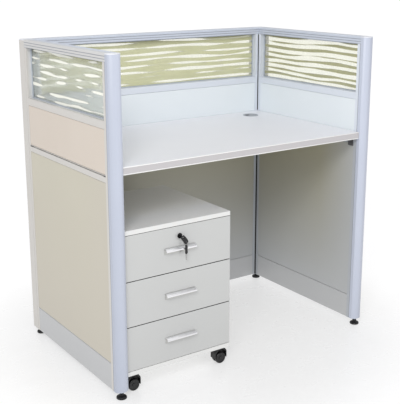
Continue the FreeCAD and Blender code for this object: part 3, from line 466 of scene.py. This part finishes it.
# %% Dress the solids
FINISHES = {
    **COATS, "outer_tiles": OUTER_TILE, "inner_tiles": INNER_TILE, "base_covers": COVER_ENAMEL,
    "foot": BLACK_NYLON, "desktop": DESK_MELAMINE, "brackets": POWDER, "grommet_ring": GREY_ABS,
    "grommet_cap": CAP_ABS, "pedestal_top": TOP_LACQUER_PAINTED_LIGHT, "pedestal_base": TOP_LACQUER_PAINTED_LIGHT,
    "pedestal_back": LACQUER, "pedestal_sides": LACQUER, "drawer_front": FRONT_LACQUER,
    "drawer_box": BOX_MELAMINE, "handle": HANDLE_SILVER, "runners": ZINC,
    "lock_barrel": BLACK_ABS, "lock_plug": BLACK_ABS, "key_bow": BLACK_ABS,
    "spare_key": BLACK_ABS, "hood": BLACK_NYLON, "wheels": TYRE_PLASTIC,
    **{side + "_glass": pane for side, pane in GLASS.items()},
}
EDGES = {
    "tiles": 0.8 * MM, "glass": 0.2 * MM, "grommet_cap": 0.3 * MM, "key_bow": 0.5 * MM,
    "lock_plug": 0.15 * MM, "hood": 1.2 * MM, "runners": 0.2 * MM, "desktop": 0.4 * MM,
}
USUAL_EDGE = 0.35 * MM
SHARPEST_BEND = math.radians(35)


def soften(item, width):
    """Weld a piece's loose points and round its edges with a bevel that hardens the normals."""
    weld = item.modifiers.new("weld", "WELD")
    weld.merge_threshold = 0.01 * MM
    edge = item.modifiers.new("edge", "BEVEL")
    edge.width = width
    edge.segments = 2
    edge.limit_method = "ANGLE"
    edge.angle_limit = SHARPEST_BEND
    edge.harden_normals = True


for name, item in nodes.items():
    kind = max((kind for kind in FINISHES if name.endswith(kind)), key=len)
    widths = [width for end, width in EDGES.items() if name.endswith(end)]
    soften(item, max(widths, default=USUAL_EDGE))
    item.data.materials.clear()
    item.data.materials.append(FINISHES[kind])
print("dressed:", len(nodes))

# %% [markdown]
# The small pieces are separate parts on the real station, so each is an object of its own that
# rides on one body of the frame. It is built round its own Z axis, and a matrix then carries it to
# where it sits. A bevel breaks its edges, because what the eye finds of a small screw or plug is
# the glint on its rim.

# %% Placing small pieces
def along(spot, axis):
    """The matrix that puts a piece's own Z along an axis through a spot."""
    return Matrix.Translation(spot) @ Vector(axis).to_track_quat("Z", "Y").to_matrix().to_4x4()


def take(name, data, dress, body, slot):
    """Make an object of a mesh or curve that lies in place, dress it and let it ride on a body."""
    data.materials.append(dress)
    item = bpy.data.objects.new(name, data)
    bpy.context.scene.collection.objects.link(item)
    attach(item, body)
    return item


def solid(name, shape, place, edge, *owners):
    """Finish a bmesh as a piece with broken edges. Owners are its finish, body and slot; the slot
    is not used.
    """
    bmesh.ops.recalc_face_normals(shape, faces=shape.faces)
    mesh = bpy.data.meshes.new(name)
    shape.to_mesh(mesh)
    shape.free()
    mesh.transform(place)
    mesh.polygons.foreach_set("use_smooth", [True] * len(mesh.polygons))
    item = take(name, mesh, *owners)
    soften(item, edge)
    return item


print("solids ready for small pieces:", len(nodes))

# %% [markdown]
# Screws, wheels, feet and the grommet are round. Each is a profile of radius and height that is
# carried round an axis, as on a lathe. Where a profile point names a number of sides, that ring is
# a polygon, which makes nuts and hexagon sockets.

# %% Turned pieces
TURNS = 48


def turned(name, profile, place, edge, *owners, closed=False):
    """A lathe piece. A profile point is radius, height and, for a polygon, its number of sides."""
    shape = bmesh.new()
    rings = []
    for radius, height, *sides in profile:
        ring = []
        for step in range(TURNS):
            angle = 2 * math.pi * step / TURNS
            reach = radius
            if sides:
                half = math.pi / sides[0]
                reach = radius * math.cos(half) / math.cos(angle % (2 * half) - half)
            ring.append(shape.verts.new((reach * math.cos(angle), reach * math.sin(angle), height)))
        rings.append(ring)
    for low, high in zip(rings, rings[1:] + rings[:1] if closed else rings[1:]):
        for step in range(TURNS):
            after = (step + 1) % TURNS
            shape.faces.new((low[step], low[after], high[after], high[step]))
    if not closed:
        shape.faces.new(rings[0])
        shape.faces.new(rings[-1])
    return solid(name, shape, place, edge, *owners)


print("steps in a turn:", TURNS)

# %% [markdown]
# Plugs, gaskets and the key's web, head and blade are flat, so each is an outline with a
# thickness. Raised rims and the split ring are wires, made by a curve with a round section.

# %% Plates and wires
SMOOTH = 3


def plate(name, outline, low, high, place, edge, *owners):
    """A flat outline of (x, y) points with a thickness from low to high."""
    shape = bmesh.new()
    floor, roof = ([shape.verts.new((x, y, level)) for x, y in outline] for level in (low, high))
    for step in range(len(outline)):
        after = (step + 1) % len(outline)
        shape.faces.new((floor[step], floor[after], roof[after], roof[step]))
    shape.faces.new(floor)
    shape.faces.new(roof)
    return solid(name, shape, place, edge, *owners)


def wire(name, points, radius, place, *owners, cyclic=False):
    """A round wire along a smooth curve through its points."""
    curve = bpy.data.curves.new(name, "CURVE")
    curve.dimensions = "3D"
    curve.bevel_depth = radius
    curve.bevel_resolution = SMOOTH
    path = curve.splines.new("POLY")
    path.points.add(len(points) - 1)
    for spot, point in zip(path.points, points):
        spot.co = (*(place @ Vector(point)), 1)
    path.use_cyclic_u = cyclic
    path.use_smooth = True
    return take(name, curve, *owners)


print("roundness of a wire:", SMOOTH)

# %% [markdown]
# Two outlines come back often: a long loop with round ends, for keys, and a strip with mitred
# corners round an opening, for seals. The places of the pieces come from the solids' own boxes.

# %% Outlines and places
def oval(half_width, low, high, steps=12):
    """A long round-ended loop of (x, y) points from low to high."""
    loop = []
    for end, start in ((high - half_width, 0), (low + half_width, math.pi)):
        for step in range(steps + 1):
            angle = start + math.pi * step / steps
            loop.append((half_width * math.cos(angle), end + half_width * math.sin(angle)))
    return loop


def surround(name, halves, profile, place, edge, *owners):
    """A strip with mitred corners round an opening. A profile point is an inset and a height."""
    shape = bmesh.new()
    rings = []
    for inset, height in profile:
        x, y = (half - inset for half in halves)
        corners = ((x, y), (-x, y), (-x, -y), (x, -y))
        rings.append([shape.verts.new((*spot, height)) for spot in corners])
    for low, high in zip(rings, rings[1:] + rings[:1]):
        for step in range(4):
            after = (step + 1) % 4
            shape.faces.new((low[step], low[after], high[after], high[step]))
    return solid(name, shape, place, edge, *owners)


def middle_of(name):
    """The middle and the size of a solid's box."""
    low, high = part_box(name)
    return (low + high) / 2, high - low


STATION = "partition_and_desk"
print("most small pieces ride on:", STATION)

# %% [markdown]
# **Glass seals.** A soft grey wedge of PVC is pressed in between the glass and the bars, all round
# each pane and on both faces. It holds the pane without a rattle and hides its cut edges. The
# strips meet in mitres.

# %% Glass seals
OUTWARDS = {"left": Vector((-1, 0, 0)), "back": Vector((0, 1, 0)), "right": Vector((1, 0, 0))}
BITE = 6 * MM
WEDGE = [(0, 0), (4 * MM, 0), (3.6 * MM, 1.2 * MM), (0.8 * MM, 3.4 * MM), (0, 3.4 * MM)]
for side, outwards in OUTWARDS.items():
    centre, size = middle_of(side + "_glass")
    opening = (max(size.x, size.y) / 2 - BITE, size.z / 2 - BITE)
    for face, axis in (("outer", outwards), ("inner", -outwards)):
        surround(
            side + "_glass_seal_" + face, opening, WEDGE,
            along(centre + min(size.x, size.y) / 2 * axis, axis), 0.4 * MM,
            SEAL_PVC, STATION, "grommet_plastic",
        )
print("seals:", 2 * len(OUTWARDS))

# %% [markdown]
# **Slot plugs.** The level slot in the outer face of a panel is open along the whole bar, so that
# shelves and hooks can hang anywhere. A small black moulded plug closes each end of it.

# %% Slot plugs
STILE, HALF_PANEL = 15 * MM, 22.5 * MM
PLUG_WIDTH, PLUG_HEIGHT, PLUG_DEPTH, PROUD = 12 * MM, 3.6 * MM, 7 * MM, 0.6 * MM
SLOT_DROP = 1.5 * MM
plug_outline = [
    (x * PLUG_WIDTH / 2, y * PLUG_HEIGHT / 2) for x, y in ((-1, -1), (1, -1), (1, 1), (-1, 1))
]
slot_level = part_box("desk_brackets")[1].z - SLOT_DROP
for side, outwards in OUTWARDS.items():
    centre, size = middle_of(side + "_frame")
    run = Vector((outwards.y, -outwards.x, 0))
    reach = max(size.x, size.y) / 2 - STILE - PLUG_WIDTH / 2
    for end, sense in (("near", -1), ("far", 1)):
        spot = centre + sense * reach * run + HALF_PANEL * outwards
        spot.z = slot_level
        plate(
            side + "_slot_plug_" + end, plug_outline, -PLUG_DEPTH, PROUD, along(spot, outwards),
            0.4 * MM, BLACK_ABS, STATION, "black_plastic",
        )
print("plugs:", 2 * len(OUTWARDS))

# %% [markdown]
# **Corner gaskets.** Two panels meet at right angles against a corner post. A three-sided black
# gasket is pushed into the inner corner, in one length below the desktop and a slimmer one above
# it, and closes the joint.

# %% Corner gaskets
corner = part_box("right_corner_post")[0]
frame_low, frame_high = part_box("back_frame")
desk_low, desk_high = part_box("desktop")
PART = 2 * MM
GASKETS = {
    "below": (4.5 * MM, frame_low.z + PART, desk_low.z - PART),
    "above": (3 * MM, desk_high.z + PART, frame_high.z - PART),
}
for side, sign in (("left", -1), ("right", 1)):
    for level, (leg, low, high) in GASKETS.items():
        plate(
            side + "_corner_gasket_" + level, [(0, 0), (-sign * leg, 0), (0, -leg)], low, high,
            Matrix.Translation((sign * corner.x, corner.y, 0)), 0.3 * MM,
            RUBBER, STATION, "black_plastic",
        )
print("gaskets:", 2 * len(GASKETS))

# %% [markdown]
# **Screws.** Pan-head screws with a hexagon socket hold the desktop to its brackets, and each
# handle is held by two more from inside its drawer.

# %% Screws
PAN_HEAD = [
    (4 * MM, 0), (4 * MM, 1.1 * MM), (3.3 * MM, 2 * MM), (2 * MM, 2.2 * MM),
    (1.7 * MM, 2.2 * MM, 6), (1.7 * MM, 0.8 * MM, 6),
]


def screw(name, spot, axis, body):
    turned(name, PAN_HEAD, along(spot, axis), 0.15 * MM, ZINC, body, "runner_steel")


bracket_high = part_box("desk_brackets")[1]
FLANGE, BRACKET_REACH, HOOK = 3 * MM, 30 * MM, 6 * MM
BRACKET_FRONT, BRACKET_REAR, BRACKET_BACK = -272 * MM, 224 * MM, 266.25 * MM
SCREW_SHARE = 0.6
side_x = bracket_high.x - HOOK - SCREW_SHARE * BRACKET_REACH
back_y = bracket_high.y - HOOK - SCREW_SHARE * BRACKET_REACH
spots = [(sign * side_x, y) for sign in (-1, 1) for y in (BRACKET_FRONT, BRACKET_REAR)]
spots += [(sign * BRACKET_BACK, back_y) for sign in (-1, 1)]
for index, (x, y) in enumerate(spots):
    screw("bracket_screw_%d" % (index + 1), (x, y, bracket_high.z - FLANGE), (0, 0, -1), STATION)

BOX_WALL, SCREW_SPACING = 12 * MM, 96 * MM
DRAWERS = ("lower_drawer", "middle_drawer", "upper_drawer")
for drawer in DRAWERS:
    centre = middle_of(drawer + "_handle")[0]
    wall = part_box(drawer + "_box")[0].y + BOX_WALL
    for end, sense in (("left", -1), ("right", 1)):
        spot = (centre.x + sense * SCREW_SPACING / 2, wall, centre.z)
        screw(drawer + "_handle_screw_" + end, spot, (0, 1, 0), drawer)
print("screws:", len(spots) + 2 * len(DRAWERS))

# %% [markdown]
# **Twin-wheel casters.** Each caster has two moulded wheels on one axle. A wheel has a crowned
# tread with rounded shoulders, a dished face with a raised rim, and a hub cap in the middle. The
# profile is written for one outer half, from the inside to the hub, and its mirror image gives the
# other wheel.

# %% Casters
CASTERS = [name for name in nodes if name.endswith("caster_wheels")]
for name in CASTERS:
    centre, size = middle_of(name)
    wheel, track = size.z / 2, size.y / 2
    tread = [
        (3.5 * MM, 4 * MM), (0.93 * wheel, 4 * MM), (0.985 * wheel, 5 * MM), (wheel, 7 * MM),
        (wheel, track - 4 * MM), (0.98 * wheel, track - 2 * MM), (0.92 * wheel, track - 0.6 * MM),
    ]
    face = [
        (0.86, 0), (0.74, 0.1), (0.7, 1.6), (0.36, 2.2), (0.33, 0.5), (0.2, 0.2), (0.17, 0.9),
        (0.04, 0.7),
    ]
    outer = tread + [(share * wheel, track - depth * MM) for share, depth in face]
    both = [(radius, -height) for radius, height in reversed(outer)] + outer
    tyres = turned(
        name.replace("wheels", "tyres"), both, along(centre, (0, 1, 0)), 0.3 * MM,
        TYRE_PLASTIC, name, "caster_tyre",
    )
    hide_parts(name)
print("casters:", len(CASTERS))

# %% [markdown]
# **Levelling feet.** A moulded glide with a shallow dome, a hexagon that the spanner turns, and a
# threaded stem that goes up into the post. The thread is drawn as rings 1.25 mm apart, as on an
# M8 screw.

# %% Levelling feet
FEET = [name for name in nodes if name.endswith("foot")]
THREAD, CREST, ROOT = 1.25 * MM, 4 * MM, 3.4 * MM
SHOULDER, PLAIN = 17 * MM, 18 * MM
for name in FEET:
    centre, size = middle_of(name)
    rim = size.x / 2
    place = along((centre.x, centre.y, 0), (0, 0, 1))
    glide = [
        (0.1 * rim, 0), (0.9 * rim, 0), (rim, 1.5 * MM), (rim, 5 * MM), (0.94 * rim, 7 * MM),
        (0.7 * rim, 8.6 * MM), (0.5 * rim, 9 * MM), (7 * MM, 9.6 * MM), (7.9 * MM, 10.8 * MM, 6),
        (7.9 * MM, 16 * MM, 6), (6.6 * MM, SHOULDER), (3.9 * MM, SHOULDER + 0.2 * MM),
    ]
    threads = int((size.z - PLAIN) / THREAD)
    stem = [(ROOT, SHOULDER)]
    for turn in range(threads):
        level = SHOULDER + 0.6 * MM + turn * THREAD
        stem += [(CREST, level), (ROOT, level + 0.6 * MM)]
    foot = turned(name + "_glide", glide, place, 0.3 * MM, BLACK_NYLON, name, "black_plastic")
    turned(name + "_screw", stem, place, 0.05 * MM, ZINC, name, "runner_steel")
    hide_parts(name)
print("feet:", len(FEET), "threads:", threads)

# %% [markdown]
# **Cable grommet.** A moulded sleeve with a crowned lip that lies on the desktop like a washer,
# and a seat inside for its lift-out cap. The cap keeps its solid form.

# %% Cable grommet
centre, size = middle_of("grommet_ring")
low, top = (spot.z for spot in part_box("grommet_ring"))
lip, sleeve, mouth = size.x / 2, 27.7 * MM, 26.3 * MM
seat, seat_level = mouth - 2 * MM, top - 5 * MM
crown = [
    (sleeve, low), (sleeve, desk_high.z), (lip, desk_high.z), (lip, desk_high.z + 0.6 * MM),
    (lip - 1.4 * MM, top - 0.2 * MM), (lip - 2.8 * MM, top), (mouth, top), (mouth, seat_level),
    (seat, seat_level), (seat, low),
]
ring = turned(
    "grommet_sleeve", crown, along((centre.x, centre.y, 0), (0, 0, 1)), 0.2 * MM,
    GREY_ABS, STATION, "grommet_plastic", closed=True,
)
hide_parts("grommet_ring")
print("grommet lip:", round(lip / MM, 1), "mm")

# %% [markdown]
# **Key in the lock.** The folding plastic bow of this key keeps its solid form. It gains a raised
# rim on both faces, where the two halves of its mould met, and a web between its two lugs.

# %% Key in the lock
pivots = {joint["name"]: Vector(joint["pos_m"]) for joint in frame["joints"] if joint.get("pos_m")}
pin, hook = pivots["key_fold"], pivots["spare_key_swing"]
down = (hook - pin).normalized()
lean = Matrix((Vector((-down.z, 0, down.x)), -down, Vector((0, -1, 0)))).transposed().to_4x4()
bow_place = Matrix.Translation(pin) @ lean
BOW = (BLACK_ABS, "key_bow", "key_black")
BOW_LOW, BOW_HIGH, BOW_HALF, BEAD = -29 * MM, -7.4 * MM, 8 * MM, 1.1 * MM
for side, level in (("front", 1.5 * MM), ("back", -1.5 * MM)):
    rim = [(x, y, level) for x, y in oval(BOW_HALF - BEAD, BOW_LOW + BEAD, BOW_HIGH)]
    wire("key_bow_rim_" + side, rim, 0.9 * MM, bow_place, *BOW, cyclic=True)

WEB_HALF, WEB_LOW, WEB_HIGH, WEB_THICK = 3.2 * MM, -8.4 * MM, -3.5 * MM, 2.2 * MM
web = [(-WEB_HALF, WEB_LOW), (WEB_HALF, WEB_LOW), (WEB_HALF, WEB_HIGH), (-WEB_HALF, WEB_HIGH)]
plate("key_bow_web", web, -WEB_THICK / 2, WEB_THICK / 2, bow_place, 0.2 * MM, *BOW)
print("key leans:", round(math.degrees(math.asin(down.x)), 1), "degrees")

# %% [markdown]
# **Spare key.** It hangs from the bow on a split ring, which is a coil of two turns of spring
# wire. Its head is plastic with a raised rim, and its blade is nickel plated, with a bitted edge.

# %% Spare key
RING, STRAND, COILS, STEPS = 6 * MM, 0.3 * MM, 2, 28
coil = []
for step in range(COILS * STEPS + 1):
    angle = 2 * math.pi * step / STEPS
    shift = (2 * step / (COILS * STEPS) - 1) * STRAND
    coil.append((shift, RING * math.cos(angle), RING * math.sin(angle)))
METAL = (NICKEL, "spare_key", "key_metal")
wire("key_split_ring", coil, STRAND, Matrix.Translation(hook - Vector((0, 0, RING))), *METAL)

hole = hook - Vector((0, 0, 2 * RING))
hang = Matrix.Translation(hole) @ Matrix(((1, 0, 0), (0, 0, -1), (0, 1, 0))).to_4x4()
HEAD = (BLACK_ABS, "spare_key", "key_black")
HEAD_LOW, HEAD_HIGH, HEAD_HALF, LINE = -28 * MM, 3 * MM, 4.5 * MM, 0.5 * MM
grip = oval(HEAD_HALF, HEAD_LOW, HEAD_HIGH)
head = plate("spare_key_head", grip, -0.9 * MM, 0.9 * MM, hang, 0.3 * MM, *HEAD)
for side, level in (("front", 0.7 * MM), ("back", -0.7 * MM)):
    edge = oval(HEAD_HALF - LINE, HEAD_LOW + LINE, HEAD_HIGH - LINE)
    rim = [(x, y, level) for x, y in edge]
    wire("spare_key_rim_" + side, rim, LINE, hang, *HEAD, cyclic=True)

BLADE_LOW, BLADE_HALF, NOTCH = -48 * MM, 2.5 * MM, 1 * MM
TEETH = ((0.3, 1.0), (0.42, 0.3), (0.54, 0.8), (0.66, 0.2), (0.78, 1.0), (0.9, 0))
blade_top, blade_length = HEAD_LOW + 4 * MM, HEAD_LOW - BLADE_LOW
blade = [
    (-BLADE_HALF, blade_top), (-BLADE_HALF, BLADE_LOW + BLADE_HALF), (0, BLADE_LOW),
    (BLADE_HALF, BLADE_LOW + BLADE_HALF),
]
for place_share, depth in TEETH:
    blade.append((BLADE_HALF - NOTCH * depth, BLADE_LOW + blade_length * place_share))
blade.append((BLADE_HALF, blade_top))
plate("spare_key_blade", blade, -0.8 * MM, 0.8 * MM, hang, 0.1 * MM, *METAL)
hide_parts("spare_key")
print("blade:", round(blade_length / MM, 1), "mm, teeth:", len(TEETH))

# %% [markdown]
# A plain pale floor stands for the studio. It is large, so that its edge never shows, and slightly
# glossy, so that the feet and casters have faint reflections. It glows, which is painted light,
# and glows less near the station, which is a painted shadow round it; this keeps the shadow round
# the station soft and the rest white.

# %% Floor
NEAR, FAR, REACH = 0.5, 1.0, 40.0
SHADOW_GLOW, FAR_GLOW = 0.55, 0.68
studio, place = begin("pale_floor")
dust = speckle(studio, place, [60 * MM] * 3, 4.0)
away = add(studio, "ShaderNodeVectorMath", [(0, place)], operation="LENGTH")["Value"]
# The glow is painted light, dimmer near the station as a painted shadow.
painted_glow_and_shadow = add(studio, "ShaderNodeMapRange", [
    (0, away), (1, NEAR), (2, FAR), (3, SHADOW_GLOW), (4, FAR_GLOW),
], interpolation_type="SMOOTHSTEP")
FLOOR = finish(
    studio, layered(studio, "a8a8a8", (dust, "a2a2a2")), dust, (0.25, 0.35), IOR=1.45,
    Emission_Color="ffffff", Emission_Strength=painted_glow_and_shadow[0],
)
sheet = bpy.data.meshes.new("floor")
corners = [(x * REACH, y * REACH, 0) for x, y in ((-1, -1), (1, -1), (1, 1), (-1, 1))]
sheet.from_pydata(corners, [], [(0, 1, 2, 3)])
floor = bpy.data.objects.new("floor", sheet)
floor.data.materials.append(FLOOR)
bpy.context.scene.collection.objects.link(floor)
print("floor:", 2 * REACH, "m square")

# %% [markdown]
# The light is that of a white studio: a bright sky all round, a broad soft box overhead, and one
# high on the left and in front, which reaches in under the desk. The sky does most of the work, so
# shadows are faint.

# %% Light
SKY_TONE, SKY_STRENGTH = "fdfdff", 0.62
sky = bpy.data.worlds.new("studio")
bpy.context.scene.world = sky
sky.use_nodes = True
air = sky.node_tree.nodes["Background"]
air.inputs["Color"].default_value = colour(SKY_TONE)
air.inputs["Strength"].default_value = SKY_STRENGTH


def soft_box(name, spot, aim, width, power):
    lamp = bpy.data.lights.new(name, "AREA")
    lamp.shape = "SQUARE"
    lamp.size = width
    lamp.energy = power
    holder = bpy.data.objects.new(name, lamp)
    holder.location = spot
    holder.rotation_euler = (Vector(aim) - Vector(spot)).to_track_quat("-Z", "Y").to_euler()
    bpy.context.scene.collection.objects.link(holder)
    print("light:", name, power, "W")


soft_box("overhead_light", (0.1, -0.45, 3.0), (0.1, 0, 0.7), width=2.2, power=10)
soft_box("key_light", (-2.4, -2.7, 3.0), (0.1, 0, 0.5), width=1.4, power=68)

# %% [markdown]
# The camera stands where the photograph was taken from: in front, to the left and above the desk.
# Its place, focal length and tilt come from fitting the corners of the panels. The optical axis
# lies 24 pixels above the middle of a picture 404 pixels high, which is the shift.

# %% Camera
EYE = Vector((-1.6773, -2.4526, 1.3279))
PITCH, ROLL, YAW = 0.245, -0.002, 0.601
FOCUS_PIXELS, SHIFT_PIXELS, PICTURE_PIXELS, SENSOR = 842.6, -24, 404, 36.0

ahead = Vector((math.cos(PITCH) * math.sin(YAW), math.cos(PITCH) * math.cos(YAW), -math.sin(PITCH)))
level = Vector((math.cos(YAW), -math.sin(YAW), 0))
upright = level.cross(ahead)
across = math.cos(ROLL) * level + math.sin(ROLL) * upright
upward = math.cos(ROLL) * upright - math.sin(ROLL) * level
lens = bpy.data.cameras.new("camera")
lens.sensor_width = SENSOR
lens.lens = FOCUS_PIXELS / PICTURE_PIXELS * SENSOR
lens.shift_y = SHIFT_PIXELS / PICTURE_PIXELS
camera = bpy.data.objects.new("camera", lens)
tilt = Matrix((across, upward, -ahead)).transposed()
camera.matrix_world = Matrix.Translation(EYE) @ tilt.to_4x4()
bpy.context.scene.collection.objects.link(camera)
bpy.context.scene.camera = camera
bpy.context.scene.view_settings.view_transform = "Standard"
print("focal length:", round(lens.lens, 2), "mm")
